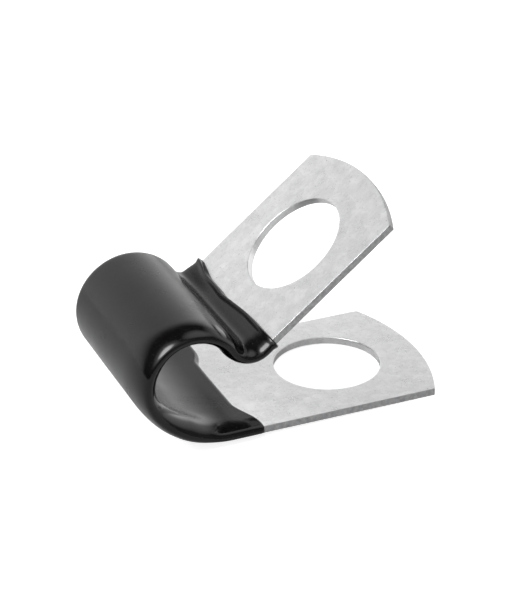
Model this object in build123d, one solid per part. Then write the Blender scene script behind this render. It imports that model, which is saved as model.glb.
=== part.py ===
from build123d import *
import os
from math import cos, radians, sin, sqrt

# Wire clamp: one folded strip of galvanised sheet steel, dipped in black vinyl round its loop.
# All sizes are in millimetres and degrees.
# The origin is the middle of the lower bolt hole, on the underside of the bare lower tab.
# X runs from the loop to the tip of the lower tab, Y across the strap, and Z up.

# Steel strip
strap_width = 16.0
sheet_thickness = 0.65
edge_break = 0.06

# Bare tabs: each has a bolt hole and a shallow curved end between two sharp corners
bolt_hole_diameter = 9.5
hole_to_tip = 8.5
tip_radius = 18.5

# Side view of the fold, from the lower tab round the loop to the upper tab
# The radii are those of the finished, coated surfaces that a hand would measure
lower_leg_length = 20.8
heel_inner_radius = 7.6
heel_angle = 53.0
loop_inner_radius = 3.4
loop_angle = 185.5
valley_top_radius = 1.1
upper_tab_angle = 38.6
upper_tab_length = 16.5

# Vinyl coat: how far it runs out past the bends, and how far it creeps on along the edges
coat_thickness = 0.45
bead_radius = 0.7
lower_coat_run = 1.55
lower_near_creep = 1.15
lower_far_creep = 0.65
upper_coat_run = 0.75
upper_near_creep = 0.15
upper_far_creep = 0.95
upper_sag = 0.45
creep_width = 4.0
lip_bevel = 0.2

half_sheet = sheet_thickness / 2
half_coated = half_sheet + coat_thickness
half_width = strap_width / 2
half_coated_width = half_width + coat_thickness
tip_height = tip_radius - sqrt(tip_radius**2 - half_width**2)

# Bends of the strip's mid surface
heel_radius = heel_inner_radius + half_coated
loop_radius = loop_inner_radius + half_coated
valley_radius = valley_top_radius + half_coated
valley_angle = heel_angle + loop_angle - 180 + upper_tab_angle
heel_x = hole_to_tip - lower_leg_length


def side_run(offset, leg, tab):
    """Run of the fold in side view, set off towards the inside of the loop, from leg to tab."""
    foot = Line((heel_x + leg, half_sheet + offset), (heel_x, half_sheet + offset))
    heel = JernArc(foot @ 1, foot % 1, heel_radius - offset, -heel_angle)
    loop = JernArc(heel @ 1, heel % 1, loop_radius - offset, -loop_angle)
    valley = JernArc(loop @ 1, loop % 1, valley_radius + offset, valley_angle)
    rise = Line(valley @ 1, (valley @ 1) + (valley % 1) * tab)
    return [foot, heel, loop, valley, rise]


def folded_band(half_thickness, half_breadth, leg, tab):
    """Band of one thickness that follows the fold from end to end."""
    inside = side_run(half_thickness, leg, tab)
    outside = side_run(-half_thickness, leg, tab)
    first_end = Line(inside[0] @ 0, outside[0] @ 0)
    last_end = Line(inside[-1] @ 1, outside[-1] @ 1)
    side = make_face(inside + outside + [first_end, last_end])
    return extrude(Plane.XZ * side, half_breadth, both=True)


def lower_tab_plane():
    """Mid surface of the lower tab, with its origin at the tip and X along the tab."""
    return Plane(origin=(hole_to_tip, 0, half_sheet), x_dir=(1, 0, 0), z_dir=(0, 0, 1))


def upper_tab_plane():
    """Mid surface of the upper tab, with its origin at the tip and X along the tab."""
    tip = side_run(0, lower_leg_length, upper_tab_length)[-1] @ 1
    rise = radians(upper_tab_angle)
    along = (cos(rise), 0, sin(rise))
    normal = (-sin(rise), 0, cos(rise))
    return Plane(origin=(tip.X, 0, tip.Y), x_dir=along, z_dir=normal)


def tab_waste():
    """What the press tool takes off a tab: the bolt hole, and all that lies past the curved tip."""
    past_tip = Pos(-tip_height, 0) * Rectangle(4 * tip_height, strap_width + tip_height)
    tip_disc = Pos(-tip_radius, 0) * Circle(tip_radius)
    hole = Pos(-hole_to_tip, 0) * Circle(bolt_hole_diameter / 2)
    return extrude(past_tip - tip_disc + hole, sheet_thickness, both=True)


def steel_strap():
    """The folded strip with its two bolt holes and curved ends, and its edges just broken."""
    strip = folded_band(half_sheet, half_width, lower_leg_length, upper_tab_length)
    strip -= lower_tab_plane() * tab_waste()
    strip -= upper_tab_plane() * tab_waste()
    return chamfer(strip.edges(), edge_break)


def dip_waste(near_creep, far_creep, sag):
    """What lies past the edge of the dip on a tab, with X towards the tip and the coat's run at X = 0.

    The edge is one uneven curve across the strap that creeps on along both edges of the steel.
    """
    side = half_coated_width + half_coated
    near = (near_creep, -side)
    near_foot = (0, creep_width - side)
    far_foot = (-sag, side - creep_width)
    far = (far_creep, side)
    dip_edge = Spline(near, near_foot, far_foot, far)
    beyond = Polyline(far, (strap_width, side), (strap_width, -side), near)
    reach = 2 * half_coated
    return Pos(0, 0, -reach) * extrude(make_face([dip_edge, beyond]), 2 * reach)


def rim_edges(sleeve):
    """The four long edges of the sleeve, two along each side of the strap."""
    long_edges = sleeve.edges().filter_by(lambda edge: edge.length > 3 * half_coated)
    return long_edges.filter_by(lambda edge: abs(abs(edge.center().Y) - half_coated_width) < half_sheet)


def lip_edges(sleeve):
    """The edges round both ends of the sleeve, where the last of the vinyl ran back as it cured."""
    return sleeve.faces().filter_by(GeomType.EXTRUSION).edges()


def vinyl_coat(strap):
    """The dipped skin: a round-edged sleeve round the loop, the valley and the roots of both tabs."""
    spare = lower_near_creep + upper_far_creep
    sleeve = folded_band(half_coated, half_coated_width, lower_coat_run + spare, upper_coat_run + spare)
    sleeve = fillet(rim_edges(sleeve), bead_radius)
    lower_run = Pos(lower_coat_run - lower_leg_length, 0, 0)
    upper_run = Pos(upper_coat_run - upper_tab_length, 0, 0)
    sleeve -= lower_tab_plane() * lower_run * dip_waste(lower_near_creep, lower_far_creep, 0)
    sleeve -= upper_tab_plane() * upper_run * dip_waste(upper_near_creep, upper_far_creep, upper_sag)
    return chamfer(lip_edges(sleeve), lip_bevel) - strap


if __name__ == "__main__":
    os.makedirs("parts", exist_ok=True)
    strap = steel_strap()
    export_step(strap, "parts/steel_strap.step")
    coat = vinyl_coat(strap)
    export_step(coat, "parts/vinyl_coat.step")
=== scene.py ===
import logging
import math
from dataclasses import dataclass
from enum import Enum

import bpy
import numpy as np
from mathutils import Matrix, Vector


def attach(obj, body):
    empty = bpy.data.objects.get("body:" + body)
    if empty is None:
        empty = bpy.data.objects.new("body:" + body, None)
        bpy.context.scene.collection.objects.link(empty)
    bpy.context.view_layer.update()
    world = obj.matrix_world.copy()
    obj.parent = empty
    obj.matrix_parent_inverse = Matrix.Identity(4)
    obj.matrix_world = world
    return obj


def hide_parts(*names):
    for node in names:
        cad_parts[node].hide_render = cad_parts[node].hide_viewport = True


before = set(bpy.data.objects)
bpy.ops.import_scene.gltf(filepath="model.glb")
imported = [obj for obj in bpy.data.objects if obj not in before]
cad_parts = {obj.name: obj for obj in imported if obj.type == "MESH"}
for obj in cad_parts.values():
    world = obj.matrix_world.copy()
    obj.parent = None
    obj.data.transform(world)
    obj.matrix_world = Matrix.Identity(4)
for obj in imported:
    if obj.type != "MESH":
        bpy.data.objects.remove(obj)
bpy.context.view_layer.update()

MM = 0.001
LOG = logging.getLogger("wire_clamp")


class StripEnd(Enum):
    """The two bare ends of the strap."""

    LOWER = "lower"
    UPPER = "upper"


def smooth_step(value: np.ndarray, low: float, high: float) -> np.ndarray:
    """Rises from 0 at low to 1 at high along the cubic 3t^2 - 2t^3.

    Args:
        value: Where to read the step.
        low: Where the rise starts.
        high: Where the rise ends; it may lie below low.

    Returns:
        The step's height, from 0 to 1, in the shape of value.
    """
    share = np.clip((value - low) / (high - low), 0.0, 1.0)
    return share * share * (3.0 - 2.0 * share)


@dataclass(frozen=True)
class FoldPath:
    """Mid line of the folded strip in side view, from the lower tip to the upper one.

    Lengths are in metres and turns in degrees, positive to the left of the run.
    """

    tip_x: float = 8.5 * MM
    height: float = 0.325 * MM
    lower_leg: float = 20.8 * MM
    heel_radius: float = 8.375 * MM
    heel_turn: float = -53.0
    loop_radius: float = 4.175 * MM
    loop_turn: float = -185.5
    valley_radius: float = 1.875 * MM
    valley_turn: float = 97.1
    upper_tab: float = 16.5 * MM

    def turns(self) -> np.ndarray:
        """Turn of each of the five spans, in radians."""
        return np.radians([0.0, self.heel_turn, self.loop_turn, self.valley_turn, 0.0])

    def spans(self) -> np.ndarray:
        """Length of each of the five spans: leg, heel, loop, valley and tab."""
        radii = np.array([self.heel_radius, self.loop_radius, self.valley_radius])
        bends = radii * np.abs(self.turns()[1:4])
        return np.concatenate([[self.lower_leg], bends, [self.upper_tab]])

    def length(self) -> float:
        """Developed length of the strip."""
        return float(self.spans().sum())

    def fold(self, flat: np.ndarray) -> np.ndarray:
        """Folds points of the flat strip into place.

        A stretch d of a span of curvature k turns the heading by k d, and its chord is
        d sin(k d / 2) / (k d / 2) long, along the heading turned by k d / 2.

        Args:
            flat: Points as run along the strip, place across it and lift towards the
                inside of the loop, in an array whose last axis has those three.

        Returns:
            The same points as x, y and z in the object's frame.
        """
        run, across, lift = flat[..., 0], flat[..., 1], flat[..., 2]
        spans, turns = self.spans(), self.turns()
        starts = np.concatenate([[0.0], np.cumsum(spans)[:-1]])
        headings = math.pi + np.concatenate([[0.0], np.cumsum(turns)[:-1]])
        bends = turns / spans
        chords = spans * np.sinc(turns / 2 / math.pi)
        middles = headings + turns / 2
        corner_x = self.tip_x + np.concatenate([[0.0], np.cumsum(chords * np.cos(middles))[:-1]])
        corner_z = self.height + np.concatenate([[0.0], np.cumsum(chords * np.sin(middles))[:-1]])
        span = np.clip(np.searchsorted(starts, run, side="right") - 1, 0, len(spans) - 1)
        past = run - starts[span]
        half_turn = bends[span] * past / 2
        chord = past * np.sinc(half_turn / math.pi)
        towards = headings[span] + half_turn
        heading = towards + half_turn
        x = corner_x[span] + chord * np.cos(towards) + lift * np.sin(heading)
        z = corner_z[span] + chord * np.sin(towards) - lift * np.cos(heading)
        return np.stack([x, across, z], axis=-1)


class GridShell:
    """One closed surface joined from rectangular grids of points that share their edges."""

    weld_distance: float = 2e-8

    def __init__(self, name: str) -> None:
        """Starts an empty shell.

        Args:
            name: Name of the piece.
        """
        self.name = name
        self.grids: list[np.ndarray] = []
        self.tints: list[np.ndarray] = []

    def add(self, grid: np.ndarray, tint: np.ndarray | float = 0.0) -> None:
        """Adds a grid of points.

        Args:
            grid: Points in an array of rows by columns by 3, in the object's frame.
            tint: A value kept at each point for the material, or one value for all.
        """
        self.grids.append(grid)
        self.tints.append(np.broadcast_to(np.asarray(tint, float), grid.shape[:2]))

    def build(self, tint_name: str) -> bpy.types.Object:
        """Joins the grids, merges the points that lie on one another and makes the piece.

        Args:
            tint_name: Name of the point attribute that holds the tints.

        Returns:
            The piece, at the origin, riding on the clamp's one body.
        """
        points = np.concatenate([grid.reshape(-1, 3) for grid in self.grids])
        tints = np.concatenate([tint.reshape(-1) for tint in self.tints])
        quads, first = [], 0
        for grid in self.grids:
            rows, columns = grid.shape[:2]
            index = first + np.arange(rows * columns).reshape(rows, columns)
            corners = [index[:-1, :-1], index[1:, :-1], index[1:, 1:], index[:-1, 1:]]
            quads.append(np.stack(corners, axis=-1).reshape(-1, 4))
            first += rows * columns
        places = np.round(points / self.weld_distance).astype(np.int64)
        _, kept, merged = np.unique(places, axis=0, return_index=True, return_inverse=True)
        faces = merged.reshape(-1)[np.concatenate(quads)]
        mesh = bpy.data.meshes.new(self.name)
        mesh.from_pydata(points[kept].tolist(), [], faces.tolist())
        attribute = mesh.attributes.new(tint_name, "FLOAT", "POINT")
        attribute.data.foreach_set("value", tints[kept].astype(np.float32))
        mesh.polygons.foreach_set("use_smooth", np.ones(len(faces), bool))
        mesh.update()
        piece = bpy.data.objects.new(self.name, mesh)
        bpy.context.scene.collection.objects.link(piece)
        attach(piece, "root")
        return piece


class NodeSheet:
    """Adds nodes to a node tree and links them."""

    def __init__(self, tree: bpy.types.NodeTree) -> None:
        """Takes over a node tree.

        Args:
            tree: The tree to add to.
        """
        self.tree = tree

    def put(self, node: bpy.types.Node, key: str | int, value: object) -> None:
        """Links an output socket to one input of a node, or sets the input to a value.

        Args:
            node: The node whose input is filled.
            key: Name or number of the input.
            value: The socket to link, or the value to set.
        """
        if isinstance(value, bpy.types.NodeSocket):
            self.tree.links.new(value, node.inputs[key])
        else:
            node.inputs[key].default_value = value

    def add(self, kind: str, inputs: dict | None = None, **settings: object) -> bpy.types.Node:
        """Adds one node.

        Args:
            kind: The node's type.
            inputs: Values or output sockets for its inputs, by name or number.
            settings: Settings of the node itself, made before its inputs are filled.

        Returns:
            The new node.
        """
        node = self.tree.nodes.new(kind)
        for key, value in settings.items():
            setattr(node, key, value)
        for key, value in (inputs or {}).items():
            self.put(node, key, value)
        return node

    def math(
        self,
        operation: str,
        first: object,
        second: object = 0.0,
        third: object = 0.0,
        clamp: bool = False,
    ) -> bpy.types.NodeSocket:
        """Adds a Math node.

        Args:
            operation: The sum to do.
            first: First value or socket.
            second: Second value or socket.
            third: Third value or socket, where the sum has one.
            clamp: Whether the result is kept from 0 to 1.

        Returns:
            The socket with the result.
        """
        inputs = {0: first, 1: second, 2: third}
        return self.add("ShaderNodeMath", inputs, operation=operation, use_clamp=clamp).outputs[0]

    def spread(
        self,
        value: bpy.types.NodeSocket,
        low: float,
        high: float,
        to_low: float = 0.0,
        to_high: float = 1.0,
    ) -> bpy.types.NodeSocket:
        """Maps a range of a value onto another range and keeps it inside.

        Args:
            value: The socket to read.
            low: Value that becomes to_low.
            high: Value that becomes to_high.
            to_low: Result at low.
            to_high: Result at high.

        Returns:
            The socket with the result.
        """
        inputs = {0: value, 1: low, 2: high, 3: to_low, 4: to_high}
        return self.add("ShaderNodeMapRange", inputs, clamp=True).outputs[0]

    def noise(
        self, place: bpy.types.NodeSocket, scale: object, detail: float, roughness: float
    ) -> bpy.types.Node:
        """Adds a noise texture.

        Args:
            place: Coordinates, in metres.
            scale: Lumps to the metre, as a value or socket.
            detail: Octaves.
            roughness: Share that each octave keeps.

        Returns:
            The noise node.
        """
        inputs = {"Vector": place, "Scale": scale, "Detail": detail, "Roughness": roughness}
        return self.add("ShaderNodeTexNoise", inputs)

    def blend(self, share: object, first: object, second: object) -> bpy.types.NodeSocket:
        """Mixes two colours.

        Args:
            share: How much of the second colour.
            first: First colour or socket.
            second: Second colour or socket.

        Returns:
            The socket with the mixed colour.
        """
        node = self.add("ShaderNodeMix", data_type="RGBA")
        for key, value in ((0, share), (6, first), (7, second)):
            self.put(node, key, value)
        return node.outputs[2]


@dataclass(frozen=True)
class GroupSocket:
    """One input of a node group: its name and, for a number, its usual value."""

    name: str
    usual: float | None = None


def new_group(
    name: str, inputs: list[GroupSocket], outputs: list[str]
) -> tuple[NodeSheet, bpy.types.Node, bpy.types.Node]:
    """Starts a shader node group with named sockets.

    Args:
        name: Name of the group.
        inputs: Its inputs; one without a usual value takes a vector.
        outputs: Names of its outputs, all of them values.

    Returns:
        The group's sheet, and its input and output nodes.
    """
    tree = bpy.data.node_groups.new(name, "ShaderNodeTree")
    for entry in inputs:
        kind = "NodeSocketVector" if entry.usual is None else "NodeSocketFloat"
        socket = tree.interface.new_socket(entry.name, in_out="INPUT", socket_type=kind)
        if entry.usual is not None:
            socket.default_value = entry.usual
    for label in outputs:
        tree.interface.new_socket(label, in_out="OUTPUT", socket_type="NodeSocketFloat")
    sheet = NodeSheet(tree)
    return sheet, sheet.add("NodeGroupInput"), sheet.add("NodeGroupOutput")


def soft_mottle_group() -> bpy.types.NodeTree:
    """Group with cloudy patches and scattered fine specks, which both finishes share.

    Patches are noise of about the given size; specks are the brightest grains of a much
    finer noise, so that they lie scattered.

    Returns:
        The group, with outputs Patches and Specks.
    """
    sockets = [GroupSocket("Place"), GroupSocket("Size", 0.002), GroupSocket("Speck Size", 0.00015)]
    sheet, entry, leave = new_group("soft mottle", sockets, ["Patches", "Specks"])
    wide = sheet.math("DIVIDE", 1.0, entry.outputs["Size"])
    fine = sheet.math("DIVIDE", 1.0, entry.outputs["Speck Size"])
    clouds = sheet.noise(entry.outputs["Place"], wide, 4.0, 0.55)
    grains = sheet.noise(entry.outputs["Place"], fine, 1.0, 0.5)
    sheet.put(leave, "Patches", sheet.spread(clouds.outputs[0], 0.34, 0.66))
    sheet.put(leave, "Specks", sheet.spread(grains.outputs[0], 0.66, 0.76))
    return sheet.tree


def spangle_group() -> bpy.types.NodeTree:
    """Group for the crystals of a hot-dipped zinc coat.

    The sheet is split into cells round scattered points, each with a value of its own; the
    cells' edges wander because the coordinates are first shaken by noise.

    Returns:
        The group, with outputs Tone, the cell's own value, and Border, high at cell edges.
    """
    sockets = [GroupSocket("Place"), GroupSocket("Size", 0.001), GroupSocket("Shake", 0.0002)]
    sheet, entry, leave = new_group("zinc spangle", sockets, ["Tone", "Border"])
    scale = sheet.math("DIVIDE", 1.0, entry.outputs["Size"])
    shaker = sheet.noise(entry.outputs["Place"], sheet.math("MULTIPLY", scale, 2.2), 3.0, 0.5)
    off_centre = {0: shaker.outputs["Color"], 1: (0.5, 0.5, 0.5)}
    centred = sheet.add("ShaderNodeVectorMath", off_centre, operation="SUBTRACT")
    reach = sheet.math("MULTIPLY", entry.outputs["Shake"], 4.0)
    scaling = {0: centred.outputs[0], "Scale": reach}
    shift = sheet.add("ShaderNodeVectorMath", scaling, operation="SCALE")
    shaken = {0: entry.outputs["Place"], 1: shift.outputs[0]}
    place = sheet.add("ShaderNodeVectorMath", shaken, operation="ADD")
    split = {"Vector": place.outputs[0], "Scale": scale}
    cells = sheet.add("ShaderNodeTexVoronoi", split)
    edges = sheet.add("ShaderNodeTexVoronoi", split, feature="DISTANCE_TO_EDGE")
    tone = sheet.add("ShaderNodeSeparateColor", {0: cells.outputs["Color"]})
    sheet.put(leave, "Tone", tone.outputs[0])
    sheet.put(leave, "Border", sheet.spread(edges.outputs["Distance"], 0.0, 0.08, 1.0, 0.0))
    return sheet.tree


@dataclass(frozen=True)
class GalvanisedSteel:
    """Zinc-coated sheet steel: pale crystals on the faces, duller sheared metal on the edges."""

    face_light: tuple[float, float, float] = (0.97, 0.97, 0.972)
    face_dark: tuple[float, float, float] = (0.71, 0.71, 0.714)
    fleck: tuple[float, float, float] = (0.30, 0.30, 0.305)
    cut_light: tuple[float, float, float] = (0.46, 0.46, 0.465)
    cut_dark: tuple[float, float, float] = (0.28, 0.28, 0.285)
    dulled: tuple[float, float, float] = (0.42, 0.42, 0.425)
    roughness: float = 0.3
    spangle_size: float = 1.0 * MM
    grain_size: float = 0.28 * MM
    stain_size: float = 1.5 * MM
    speck_size: float = 0.15 * MM
    mark_size: float = 0.35 * MM
    grain_share: float = 0.26
    crystal_share: float = 0.34
    stain_share: float = 0.45
    fleck_share: float = 0.5
    bump_strength: float = 0.08
    bump_depth: float = 0.04 * MM

    def material(self, groups: dict[str, bpy.types.NodeTree]) -> bpy.types.Material:
        """Builds the material.

        Args:
            groups: The shared node groups by name.

        Returns:
            The material, which reads Object coordinates and the attribute sheared.
        """
        material = bpy.data.materials.new("galvanised steel")
        material.use_nodes = True
        sheet = NodeSheet(material.node_tree)
        shader = material.node_tree.nodes["Principled BSDF"]
        place = sheet.add("ShaderNodeTexCoord").outputs["Object"]
        sheared = sheet.add("ShaderNodeAttribute", attribute_name="sheared").outputs["Fac"]
        crystals, grains = (
            sheet.add("ShaderNodeGroup", spangle, node_tree=groups["spangle"])
            for spangle in (
                {"Place": place, "Size": size, "Shake": 0.3 * size}
                for size in (self.spangle_size, self.grain_size)
            )
        )
        patchy = {"Place": place, "Size": self.stain_size, "Speck Size": self.speck_size}
        mottle = sheet.add("ShaderNodeGroup", patchy, node_tree=groups["mottle"])
        tone = sheet.math("MULTIPLY", grains.outputs["Tone"], self.grain_share)
        tone = sheet.math("MULTIPLY_ADD", crystals.outputs["Tone"], self.crystal_share, tone)
        stains = mottle.outputs["Patches"]
        tone = sheet.math("MULTIPLY_ADD", stains, self.stain_share, tone, clamp=True)
        face = sheet.blend(tone, (*self.face_dark, 1.0), (*self.face_light, 1.0))
        flecked = sheet.math("MULTIPLY", mottle.outputs["Specks"], self.fleck_share)
        face = sheet.blend(flecked, face, (*self.fleck, 1.0))
        marks = sheet.noise(place, 1.0 / self.mark_size, 3.0, 0.6).outputs[0]
        marked = sheet.spread(marks, 0.3, 0.7)
        cut = sheet.blend(marked, (*self.cut_dark, 1.0), (*self.cut_light, 1.0))
        rounding = sheet.math("MULTIPLY", sheared, sheet.math("SUBTRACT", 1.0, sheared))
        rounding = sheet.math("MULTIPLY", rounding, 3.0, clamp=True)
        colour = sheet.blend(sheet.spread(sheared, 0.35, 0.95), face, cut)
        colour = sheet.blend(rounding, colour, (*self.dulled, 1.0))
        uneven = sheet.math("ADD", crystals.outputs["Tone"], stains)
        rough = sheet.spread(uneven, 0.2, 1.8, self.roughness - 0.03, self.roughness + 0.04)
        rough = sheet.math("MULTIPLY_ADD", rounding, 0.3, rough)
        pits = sheet.noise(place, 2000.0, 4.0, 0.6).outputs[0]
        height = sheet.math("MULTIPLY_ADD", crystals.outputs["Tone"], 0.35, pits)
        height = sheet.math("MULTIPLY_ADD", crystals.outputs["Border"], -0.12, height)
        relief = {"Height": height, "Strength": self.bump_strength, "Distance": self.bump_depth}
        bump = sheet.add("ShaderNodeBump", relief)
        sheet.put(shader, "Base Color", colour)
        sheet.put(shader, "Roughness", rough)
        sheet.put(shader, "Normal", bump.outputs[0])
        shader.inputs["Metallic"].default_value = 1.0
        return material


@dataclass(frozen=True)
class DippedVinyl:
    """Glossy black vinyl from a dip: almost black, a little uneven, with a few dusty specks."""

    colour: tuple[float, float, float] = (0.0024, 0.0021, 0.0022)
    dusty: tuple[float, float, float] = (0.0050, 0.0046, 0.0047)
    speck: tuple[float, float, float] = (0.30, 0.29, 0.285)
    roughness: float = 0.18
    dull_spread: float = 0.1
    bead_gloss: float = 0.55
    ior: float = 1.39
    patch_size: float = 3.0 * MM
    speck_size: float = 0.12 * MM
    speck_share: float = 0.06
    bump_strength: float = 0.12
    bump_depth: float = 0.03 * MM

    def material(self, groups: dict[str, bpy.types.NodeTree]) -> bpy.types.Material:
        """Builds the material.

        Args:
            groups: The shared node groups by name.

        Returns:
            The material, which reads Object coordinates and the attribute bead.
        """
        material = bpy.data.materials.new("black vinyl")
        material.use_nodes = True
        sheet = NodeSheet(material.node_tree)
        shader = material.node_tree.nodes["Principled BSDF"]
        place = sheet.add("ShaderNodeTexCoord").outputs["Object"]
        bead = sheet.add("ShaderNodeAttribute", attribute_name="bead").outputs["Fac"]
        patchy = {"Place": place, "Size": self.patch_size, "Speck Size": self.speck_size}
        mottle = sheet.add("ShaderNodeGroup", patchy, node_tree=groups["mottle"])
        colour = sheet.blend(mottle.outputs["Patches"], (*self.colour, 1.0), (*self.dusty, 1.0))
        specked = sheet.math("MULTIPLY", mottle.outputs["Specks"], self.speck_share)
        colour = sheet.blend(specked, colour, (*self.speck, 1.0))
        patches, dull = mottle.outputs["Patches"], self.roughness + self.dull_spread
        rough = sheet.spread(patches, 0.0, 1.0, self.roughness, dull)
        rough = sheet.math("MULTIPLY", rough, sheet.spread(bead, 0.0, 1.0, 1.0, self.bead_gloss))
        peel = sheet.noise(place, 1100.0, 2.0, 0.4).outputs[0]
        grit = sheet.noise(place, 8000.0, 2.0, 0.5).outputs[0]
        height = sheet.math("MULTIPLY_ADD", grit, 0.05, peel)
        relief = {"Height": height, "Strength": self.bump_strength, "Distance": self.bump_depth}
        bump = sheet.add("ShaderNodeBump", relief)
        sheet.put(shader, "Base Color", colour)
        sheet.put(shader, "Roughness", rough)
        sheet.put(shader, "Normal", bump.outputs[0])
        shader.inputs["IOR"].default_value = self.ior
        return material


@dataclass
class SteelStrap:
    """The folded strip: two tabs with a bolt hole and a curved tip, and the bends between them."""

    path: FoldPath
    width: float = 16.0 * MM
    thickness: float = 0.65 * MM
    hole_radius: float = 4.75 * MM
    hole_to_tip: float = 8.5 * MM
    tip_radius: float = 18.5 * MM
    edge_round: float = 0.05 * MM
    hole_tint: float = 0.05
    across_steps: int = 48
    side_steps: int = 44
    bend_steps: int = 150
    ring_steps: int = 9

    def rim_profile(self) -> tuple[np.ndarray, np.ndarray, np.ndarray]:
        """Section of a broken edge: a quarter round, the cut wall, and a quarter round back.

        Returns:
            How far each point stands out from the inset line, its lift, and its tint,
            which is 1 on the cut wall and 0 where the round meets the face.
        """
        turn = np.linspace(0.0, math.pi / 2, 5)
        out = self.edge_round * np.sin(turn)
        down = self.thickness / 2 - self.edge_round * (1.0 - np.cos(turn))
        wall = np.linspace(down[-1], -down[-1], 5)[1:-1]
        stand = np.concatenate([out, np.full(3, self.edge_round), out[::-1]])
        lift = np.concatenate([down, wall, -down[::-1]])
        tint = np.concatenate([turn / turn[-1], np.ones(3), turn[::-1] / turn[-1]])
        return stand, lift, tint

    def tab_outline(self, end: StripEnd) -> tuple[np.ndarray, np.ndarray]:
        """Inset outline of one tab, once round from one tip corner.

        The tip is an arc about a point tip_radius in from its apex; the sides run
        straight to the root line, where the bends begin.

        Args:
            end: Which tab.

        Returns:
            The outline's points as run and place across, and the outward direction at each.
        """
        half = self.width / 2 - self.edge_round
        across = np.linspace(-half, half, self.across_steps + 1)
        arc = self.tip_radius - np.sqrt((self.tip_radius - self.edge_round) ** 2 - across**2)
        root = self.path.lower_leg if end is StripEnd.LOWER else self.path.upper_tab
        side = np.linspace(arc[0], root, self.side_steps + 1)
        tip = np.stack([arc, across], axis=-1)
        far = np.stack([side, np.full_like(side, half)], axis=-1)[1:]
        back = np.stack([np.full_like(across, root), across[::-1]], axis=-1)[1:]
        near = np.stack([side[::-1], np.full_like(side, -half)], axis=-1)[1:]
        return np.concatenate([tip, far, back, near]), across

    def to_run(self, outline: np.ndarray, end: StripEnd) -> np.ndarray:
        """Turns distances from a tab's tip into runs along the strip."""
        if end is StripEnd.LOWER:
            return outline
        flipped = outline.copy()
        flipped[..., 0] = self.path.length() - outline[..., 0]
        return flipped

    def lifted(self, flat: np.ndarray, lift: float | np.ndarray) -> np.ndarray:
        """Adds a lift to flat points and folds them."""
        height = np.broadcast_to(np.asarray(lift, float), flat.shape[:-1])
        return self.path.fold(np.concatenate([flat, height[..., None]], axis=-1))

    def add_tab(self, shell: GridShell, end: StripEnd) -> None:
        """Adds both faces of one tab and the wall of its hole.

        Each face is a ring of straight rays from the hole's rim to the outline.

        Args:
            shell: The shell to add to.
            end: Which tab.
        """
        outline, _ = self.tab_outline(end)
        centre = np.array([self.hole_to_tip, 0.0])
        ray = outline - centre
        ray = ray / np.linalg.norm(ray, axis=-1, keepdims=True)
        rim = centre + (self.hole_radius + self.edge_round) * ray
        rings = np.linspace(0.1, 0.9, self.ring_steps - 4)
        share = np.concatenate([[0.0, 0.02], rings, [0.985, 1.0]])
        face = rim[None] * (1.0 - share[:, None, None]) + outline[None] * share[:, None, None]
        stand, lift, tint = self.rim_profile()
        wall = rim[None] - stand[:, None, None] * ray[None]
        mirror = 1 if end is StripEnd.LOWER else -1
        top = self.lifted(self.to_run(face, end), self.thickness / 2)
        bottom = self.lifted(self.to_run(face, end), -self.thickness / 2)
        shell.add(top[::mirror], 0.0)
        shell.add(bottom[::-mirror], 0.0)
        hole = self.lifted(self.to_run(wall, end), lift[:, None] * np.ones(len(rim)))
        shell.add(hole[::-mirror], self.hole_tint * (tint[:, None] * np.ones(len(rim)))[::-mirror])

    def add_middle(self, shell: GridShell) -> None:
        """Adds both faces of the bends between the tabs' root lines."""
        _, across = self.tab_outline(StripEnd.LOWER)
        run = self.middle_runs()
        flat = np.stack(np.meshgrid(run, across, indexing="ij"), axis=-1)
        shell.add(self.lifted(flat, self.thickness / 2)[::-1], 0.0)
        shell.add(self.lifted(flat, -self.thickness / 2), 0.0)

    def middle_runs(self) -> np.ndarray:
        """Runs of the rows across the bends, from one root line to the other."""
        last = self.path.length() - self.path.upper_tab
        return np.linspace(self.path.lower_leg, last, self.bend_steps + 1)

    def add_outer_rim(self, shell: GridShell) -> None:
        """Adds the cut edge all round the strip, the rim profile carried along its outline."""
        lower, across = self.tab_outline(StripEnd.LOWER)
        upper = self.to_run(self.tab_outline(StripEnd.UPPER)[0], StripEnd.UPPER)
        tip, side = self.across_steps, self.side_steps
        half = across[-1]
        middle = np.stack([self.middle_runs(), np.full(self.bend_steps + 1, half)], axis=-1)
        near_middle = middle[::-1] * np.array([1.0, -1.0])
        loop = np.concatenate([
            lower[: tip + side + 1],
            middle[1:-1],
            upper[tip : tip + side + 1][::-1],
            upper[: tip][::-1],
            upper[::-1][1 : side + 1],
            near_middle[1:],
            lower[-side:],
        ])
        out = self.outward(loop)
        stand, lift, tint = self.rim_profile()
        wall = loop[None] + stand[:, None, None] * out[None]
        rim = self.lifted(wall, lift[:, None] * np.ones(len(loop)))
        shell.add(rim, tint[:, None] * np.ones(len(loop)))

    def outward(self, loop: np.ndarray) -> np.ndarray:
        """Outward directions of the outline, mitred at its corners.

        Args:
            loop: The closed outline, its last point on its first.

        Returns:
            A direction for each point, long enough at a corner to keep both sides true.
        """
        step = np.diff(loop, axis=0)
        step = step / np.linalg.norm(step, axis=-1, keepdims=True)
        normal = np.stack([-step[:, 1], step[:, 0]], axis=-1)
        before = np.concatenate([normal[-1:], normal])
        after = np.concatenate([normal, normal[:1]])
        both = before + after
        return both / (1.0 + (before * after).sum(-1, keepdims=True))

    def build(self) -> bpy.types.Object:
        """Builds the strap.

        Returns:
            The piece, which stands for the node steel_strap.
        """
        shell = GridShell("galvanised_strap")
        self.add_tab(shell, StripEnd.LOWER)
        self.add_tab(shell, StripEnd.UPPER)
        self.add_middle(shell)
        self.add_outer_rim(shell)
        piece = shell.build("sheared")
        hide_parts("steel_strap")
        return piece

    def dress(self, piece: bpy.types.Object, material: bpy.types.Material) -> None:
        """Gives the strap its finish."""
        piece.data.materials.append(material)


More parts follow.
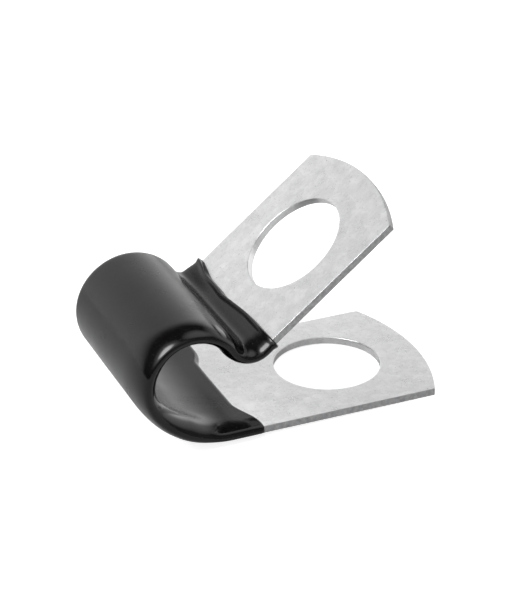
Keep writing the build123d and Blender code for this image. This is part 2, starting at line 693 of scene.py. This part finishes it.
@dataclass
class VinylCoat:
    """The dipped skin round the loop, rounded over both edges of the strap, with a lip at each end.

    The near edge, where the wet vinyl gathered as the clamp hung to cure, is a long soft nose;
    the far edge is a plain round. Runs are measured along the fold from the lower tip.
    """

    path: FoldPath
    sheet_half: float = 0.325 * MM
    strap_half: float = 8.0 * MM
    skin: float = 0.45 * MM
    far_half_width: float = 8.4 * MM
    far_round: float = 0.9 * MM
    near_half_width: float = 8.45 * MM
    inner_round: float = 1.9 * MM
    outer_round: float = 2.4 * MM
    shoulder: float = 1.6 * MM
    leg_half_width: float = 8.28 * MM
    leg_round: float = 1.2 * MM
    leg_skin: float = 0.2 * MM
    gathered: float = 0.3 * MM
    gathered_reach: float = 1.1 * MM
    valley_fill: float = 0.17 * MM
    fill_run: float = 44.9 * MM
    fill_reach: float = 0.7 * MM
    fill_across: tuple[float, float] = (3.0 * MM, 7.5 * MM)
    leg_blend: tuple[float, float] = (25.0 * MM, 22.0 * MM)
    shoulder_rise: tuple[float, float] = (27.0 * MM, 30.5 * MM)
    shoulder_fall: tuple[float, float] = (37.0 * MM, 32.5 * MM)
    gather_rise: tuple[float, float] = (21.5 * MM, 25.0 * MM)
    gather_fall: tuple[float, float] = (37.0 * MM, 33.0 * MM)
    thin_across: tuple[float, float] = (-3.5 * MM, -6.5 * MM)
    lower_dip_run: float = 19.2 * MM
    lower_near_creep: float = 1.28 * MM
    lower_near_across: tuple[float, float] = (-3.6 * MM, -8.0 * MM)
    lower_far_creep: float = 0.65 * MM
    lower_far_across: tuple[float, float] = (4.0 * MM, 6.2 * MM)
    lower_waver: float = 0.03 * MM
    upper_dip_reach: float = 15.38 * MM
    upper_sag: float = 0.38 * MM
    upper_sag_across: tuple[float, float] = (-4.2 * MM, 1.2 * MM)
    upper_kink: float = 0.08 * MM
    kink_across: float = 1.4 * MM
    kink_width: float = 1.1 * MM
    upper_far_creep: float = 0.5 * MM
    upper_far_across: tuple[float, float] = (4.8 * MM, 8.3 * MM)
    lower_lip: float = 0.38 * MM
    upper_lip: float = 0.12 * MM
    ridge: float = 0.25
    run_steps: int = 320
    ridge_steps: int = 16
    flat_steps: int = 60
    nose_steps: int = 26
    lining_steps: int = 60

    def columns(self) -> tuple[np.ndarray, np.ndarray]:
        """Stations once round the section: inside face, far edge, outside face, near edge.

        Returns:
            Share of the way from the near edge to the far one, and the angle about the edge,
            which is 0 on the inside face and pi on the outside face.
        """
        share = np.linspace(0.0, 1.0, self.flat_steps + 1)
        turn = np.linspace(0.0, math.pi, self.nose_steps + 1)[1:-1]
        far = np.ones_like(turn)
        across = np.concatenate([share, far, share[::-1], 0.0 * far, [0.0]])
        angle = np.concatenate([0.0 * share, turn, 0.0 * share + math.pi, turn[::-1], [0.0]])
        return across, angle

    def section(
        self, run: np.ndarray, across: np.ndarray, angle: np.ndarray
    ) -> tuple[np.ndarray, np.ndarray]:
        """Outer section of the coat.

        An edge is half an ellipse, standing out from its centre line by its round times the
        sine of the angle, and its height is the rise times the cosine. The rise is half the
        sheet plus the skin; inside the loop it gains a bell about the near centre line, and
        under the lower leg the skin thins towards the near edge, and a second bell fills the
        far end of the valley. The near round is longer on the loop's outside, most of all on
        its lower left shoulder, and short under the leg.

        Args:
            run: Runs along the fold.
            across: Shares of the way across, as columns gives them.
            angle: Angles about the edge, as columns gives them.

        Returns:
            Place across the strap and lift at each point.
        """
        on_leg = smooth_step(run, *self.leg_blend)
        inside = angle < math.pi / 2
        on_shoulder = smooth_step(run, *self.shoulder_rise) * smooth_step(run, *self.shoulder_fall)
        outer_round = self.outer_round + self.shoulder * on_shoulder
        outer_round = outer_round + on_leg * (self.leg_round - outer_round)
        near_round = np.where(inside, self.inner_round, outer_round)
        near_half = self.near_half_width + on_leg * (self.leg_half_width - self.near_half_width)
        near_centre = near_round - near_half
        far_centre = self.far_half_width - self.far_round
        centre = near_centre + across * (far_centre - near_centre)
        y = centre + np.where(across < 0.5, -near_round, self.far_round) * np.sin(angle)
        gather = smooth_step(run, *self.gather_rise) * smooth_step(run, *self.gather_fall)
        bell = np.exp(-(((centre - near_centre) / self.gathered_reach) ** 2))
        inside_skin = self.skin + self.gathered * gather * bell
        thinning = on_leg * smooth_step(centre, *self.thin_across)
        outside_skin = self.skin + thinning * (self.leg_skin - self.skin)
        in_valley = np.exp(-(((run - self.fill_run) / self.fill_reach) ** 2))
        in_valley = in_valley * smooth_step(centre, *self.fill_across)
        outside_skin = outside_skin + self.valley_fill * in_valley
        lift = np.cos(angle) * (self.sheet_half + np.where(inside, inside_skin, outside_skin))
        return y, lift

    def lining(self, across: np.ndarray, angle: np.ndarray) -> tuple[np.ndarray, np.ndarray]:
        """Inner section of the coat: the strap's own rectangle, met along rays from near its edges.

        Args:
            across: Shares of the way across, as columns gives them.
            angle: Angles about the edge, as columns gives them.

        Returns:
            Place across the strap and lift at each point.
        """
        centre = self.strap_half - 0.8 * MM
        sine, cosine = np.sin(angle), np.cos(angle)
        to_side = (self.strap_half - centre) / np.maximum(sine, 1e-9)
        to_face = self.sheet_half / np.maximum(np.abs(cosine), 1e-9)
        reach = np.minimum(to_side, to_face)
        y = centre * (2.0 * across - 1.0) + np.where(across < 0.5, -1.0, 1.0) * reach * sine
        return y, reach * cosine

    def lower_dip(self, across: np.ndarray) -> np.ndarray:
        """Run of the dip line on the lower tab, which creeps on along both edges."""
        near = self.lower_near_creep * smooth_step(across, *self.lower_near_across)
        far = self.lower_far_creep * smooth_step(across, *self.lower_far_across)
        waver = self.lower_waver * np.sin(across / (1.9 * MM) + 0.6)
        return self.lower_dip_run - near - far + waver

    def upper_dip(self, across: np.ndarray) -> np.ndarray:
        """Run of the dip line on the upper tab, which sags past its middle at one small kink."""
        sag = self.upper_sag * smooth_step(across, *self.upper_sag_across)
        kink = self.upper_kink * np.exp(-(((across - self.kink_across) / self.kink_width) ** 2))
        far = self.upper_far_creep * smooth_step(across, *self.upper_far_across)
        return self.path.length() - (self.upper_dip_reach + sag + kink - far)

    def unevenness(self, run: np.ndarray, across: np.ndarray) -> np.ndarray:
        """Slow waves of the skin's thickness, a sum of sines of different lengths."""
        first = np.sin(run / (2.3 * MM) + 1.7 * np.sin(across / (3.9 * MM)))
        second = np.sin(run / (1.1 * MM) - across / (2.7 * MM) + 0.8)
        third = np.sin(across / (1.3 * MM) + 1.1 * np.sin(run / (3.1 * MM)))
        return 0.012 * MM * first + 0.006 * MM * second + 0.006 * MM * third

    def thickness_share(self, past_start: np.ndarray, to_stop: np.ndarray) -> np.ndarray:
        """Share of the full skin near the dip lines.

        Each lip is a quarter ellipse, the root of 1 - (1 - d)^2 for a distance of d lip
        lengths, and the skin rises a little towards the upper one.

        Args:
            past_start: Distance past the lower dip line.
            to_stop: Distance left to the upper dip line.

        Returns:
            The share, from 0 at a dip line to 1 away from both.
        """
        lips = np.minimum(past_start / self.lower_lip, to_stop / self.upper_lip)
        near_lip = np.clip(lips, 0.0, 1.0)
        ridge = self.ridge * smooth_step(to_stop, 0.6 * MM, 0.12 * MM)
        return np.sqrt(1.0 - (1.0 - near_lip) ** 2) * (1.0 + ridge)

    def rows(self, start: np.ndarray, stop: np.ndarray) -> np.ndarray:
        """Runs of the skin's points, row by row, closer together over the lips and the ridge.

        Args:
            start: Run of the lower dip line at each column.
            stop: Run of the upper dip line at each column.

        Returns:
            An array of rows by columns.
        """
        lip = 1.0 - np.cos(np.linspace(0.0, math.pi / 2, 11))[:, None]
        first = start + self.lower_lip * lip
        last = stop - self.upper_lip * lip[::-1]
        foot = stop - 0.9 * MM
        middle = np.linspace(0.0, 1.0, self.run_steps)[1:-1, None]
        rise = np.linspace(0.0, 1.0, self.ridge_steps)[:-1, None]
        long_part = first[-1] * (1.0 - middle) + foot * middle
        ridge_part = foot * (1.0 - rise) + last[0] * rise
        return np.concatenate([first, long_part, ridge_part, last])

    def build(self) -> bpy.types.Object:
        """Builds the coat as a ring: over the skin from dip line to dip line, and back under it.

        Returns:
            The piece, which stands for the node vinyl_coat.
        """
        across, angle = self.columns()
        inner_y, inner_lift = self.lining(across, angle)
        start = self.lower_dip(self.section(np.array(19.0 * MM), across, angle)[0])
        stop = self.upper_dip(self.section(np.array(46.0 * MM), across, angle)[0])
        run = self.rows(start[None], stop[None])
        outer_y, outer_lift = self.section(run, across[None], angle[None])
        past_start, to_stop = run - start, stop - run
        inward = smooth_step(np.minimum(past_start, to_stop), 0.0, 1.5 * MM)
        depth = np.hypot(outer_y - inner_y, outer_lift - inner_lift)
        waves = self.unevenness(run, outer_y) * inward / depth
        share = self.thickness_share(past_start, to_stop) + waves
        skin_y = inner_y + (outer_y - inner_y) * share
        skin_lift = inner_lift + (outer_lift - inner_lift) * share
        skin = np.stack([run, skin_y, skin_lift], axis=-1)
        back = np.linspace(1.0, 0.0, self.lining_steps)[:, None]
        lining_run = start * (1.0 - back) + stop * back
        ones = np.ones_like(lining_run)
        lining = np.stack([lining_run, inner_y * ones, inner_lift * ones], axis=-1)
        lining[0], lining[-1] = skin[-1], skin[0]
        bead = smooth_step(np.abs(outer_y), 6.0 * MM, 7.6 * MM)
        shell = GridShell("dipped_coat")
        shell.add(self.path.fold(skin)[::-1], bead[::-1])
        shell.add(self.path.fold(lining)[::-1], 0.0)
        piece = shell.build("bead")
        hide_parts("vinyl_coat")
        return piece

    def dress(self, piece: bpy.types.Object, material: bpy.types.Material) -> None:
        """Gives the coat its finish."""
        piece.data.materials.append(material)


@dataclass(frozen=True)
class SoftPatch:
    """A round soft light in the surround.

    Its azimuth is counted from the back (+Y) towards +X, its level is radiance, and it fades
    out between two radii. Angles are in degrees.
    """

    azimuth: float
    elevation: float
    full_radius: float
    fade_radius: float
    level: float

    def direction(self) -> tuple[float, float, float]:
        """Unit vector towards the middle of the patch."""
        turn, rise = math.radians(self.azimuth), math.radians(self.elevation)
        return (math.sin(turn) * math.cos(rise), math.cos(turn) * math.cos(rise), math.sin(rise))


@dataclass
class Studio:
    """Pale floor, white backdrop, and soft boxes to the left, the right and the front.

    The floor glows white to the camera and dimly to all other rays.
    """

    floor_size: float = 6.0
    tip_x: float = 8.5 * MM
    floor_white: float = 0.87
    floor_glow: float = 0.1
    floor_grey: float = 0.42
    dim_room: float = 0.03
    backdrop: SoftPatch = SoftPatch(2.0, -22.0, 54.0, 66.0, 1.03)
    left_box: SoftPatch = SoftPatch(-102.0, 52.0, 11.0, 19.0, 13.0)
    left_glow: SoftPatch = SoftPatch(-105.0, 50.0, 16.0, 34.0, 1.8)
    right_box: SoftPatch = SoftPatch(85.0, 66.0, 12.0, 28.0, 1.6)
    right_wall: SoftPatch = SoftPatch(75.0, 12.0, 18.0, 38.0, 1.3)
    back_corner: SoftPatch = SoftPatch(36.0, -5.0, 12.0, 32.0, 0.5)
    front_wall: SoftPatch = SoftPatch(145.0, 5.0, 30.0, 55.0, 0.25)
    front_box: SoftPatch = SoftPatch(-162.0, 50.0, 12.0, 26.0, 0.6)
    camera_turn: float = -0.399406762
    camera_rise: float = 0.476448707
    camera_roll: float = -0.00650777509
    camera_target: tuple[float, float, float] = (-6.20194 * MM, 0.0, 8.20272 * MM)
    camera_distance: float = 192.0 * MM
    focal_heights: float = 2223.81524 / 600.0
    film: float = 36.0

    def resting_slope(self, coat: bpy.types.Object) -> float:
        """Slope of the floor: the steepest line from the lower tip to a point of the coat under it.

        Args:
            coat: The coat's piece.

        Returns:
            Rise of the floor for each length along x.
        """
        points = np.empty(3 * len(coat.data.vertices))
        coat.data.vertices.foreach_get("co", points)
        x, z = points.reshape(-1, 3)[:, 0], points.reshape(-1, 3)[:, 2]
        return float(np.max(-z / (self.tip_x - x)))

    def floor(self, coat: bpy.types.Object) -> None:
        """Builds the floor, a grid laid against the coat's underside and the lower tab's tip.

        Args:
            coat: The coat's piece, which the clamp rests on.
        """
        slope = self.resting_slope(coat)
        side = np.linspace(-self.floor_size / 2, self.floor_size / 2, 3)
        x, y = np.meshgrid(side, side, indexing="ij")
        points = np.stack([x, y, slope * (x - self.tip_x)], axis=-1)
        index = np.arange(9).reshape(3, 3)
        corners = [index[:-1, :-1], index[1:, :-1], index[1:, 1:], index[:-1, 1:]]
        mesh = bpy.data.meshes.new("floor")
        quads = np.stack(corners, axis=-1).reshape(-1, 4)
        mesh.from_pydata(points.reshape(-1, 3).tolist(), [], quads.tolist())
        floor = bpy.data.objects.new("floor", mesh)
        bpy.context.scene.collection.objects.link(floor)
        material = bpy.data.materials.new("pale floor")
        material.use_nodes = True
        shader = material.node_tree.nodes["Principled BSDF"]
        grey = self.floor_grey
        shader.inputs["Base Color"].default_value = (grey, grey, grey, 1.0)
        shader.inputs["Roughness"].default_value = 0.9
        shader.inputs["Specular IOR Level"].default_value = 0.1
        shader.inputs["Emission Color"].default_value = (1.0, 1.0, 1.0, 1.0)
        sheet = NodeSheet(material.node_tree)
        seen = sheet.add("ShaderNodeLightPath").outputs["Is Camera Ray"]
        glow = sheet.spread(seen, 0.0, 1.0, self.floor_glow, self.floor_white)
        sheet.put(shader, "Emission Strength", glow)
        mesh.materials.append(material)

    def patches(self) -> tuple[SoftPatch, ...]:
        """All the soft lights of the surround."""
        boxes = (self.left_box, self.left_glow, self.right_box, self.front_box)
        return (self.backdrop, self.back_corner, self.right_wall, self.front_wall, *boxes)

    def surround(self) -> None:
        """Sets the surround: the dim room plus each patch's level, faded with the angle from it."""
        world = bpy.data.worlds.new("soft surround")
        bpy.context.scene.world = world
        world.use_nodes = True
        sheet = NodeSheet(world.node_tree)
        place = sheet.add("ShaderNodeTexCoord").outputs["Generated"]
        level = self.dim_room
        for patch in self.patches():
            inputs = {0: place, 1: patch.direction()}
            dot = sheet.add("ShaderNodeVectorMath", inputs, operation="DOT_PRODUCT")
            fade, full = (math.cos(math.radians(r)) for r in (patch.fade_radius, patch.full_radius))
            glow = sheet.spread(dot.outputs["Value"], fade, full, 0.0, patch.level)
            level = sheet.math("ADD", level, glow)
        sheet.put(world.node_tree.nodes["Background"], "Color", level)

    def camera(self) -> None:
        """Puts the camera where the photograph was taken from."""
        azimuth, elevation, roll = self.camera_turn, self.camera_rise, self.camera_roll
        level = math.cos(elevation)
        back = Vector(
            (math.sin(azimuth) * level, -math.cos(azimuth) * level, math.sin(elevation))
        )
        right = Vector((math.cos(azimuth), math.sin(azimuth), 0.0))
        up = back.cross(right)
        turned_right = math.cos(roll) * right + math.sin(roll) * up
        turned_up = -math.sin(roll) * right + math.cos(roll) * up
        data = bpy.data.cameras.new("camera")
        data.sensor_width = self.film
        data.lens = self.focal_heights * self.film
        data.clip_start = 0.01
        data.clip_end = 20.0
        camera = bpy.data.objects.new("camera", data)
        axes = Matrix((turned_right, turned_up, back)).transposed().to_4x4()
        place = Vector(self.camera_target) + self.camera_distance * back
        camera.matrix_world = Matrix.Translation(place) @ axes
        bpy.context.scene.collection.objects.link(camera)
        bpy.context.scene.camera = camera

    def build(self, coat: bpy.types.Object) -> None:
        """Builds the floor under the coat, the lights and the camera."""
        self.floor(coat)
        self.surround()
        self.camera()
        bpy.context.scene.view_settings.view_transform = "Standard"


def main() -> None:
    """Builds the clamp's pieces in order, dresses them and reports each one."""
    logging.basicConfig(level=logging.INFO, format="%(name)s: %(message)s")
    groups = {"mottle": soft_mottle_group(), "spangle": spangle_group()}
    path = FoldPath()
    for maker, finish in ((SteelStrap(path), GalvanisedSteel()), (VinylCoat(path), DippedVinyl())):
        piece = maker.build()
        maker.dress(piece, finish.material(groups))
        LOG.info("%s: %d faces", piece.name, len(piece.data.polygons))
    Studio().build(piece)


if __name__ == "__main__":
    main()
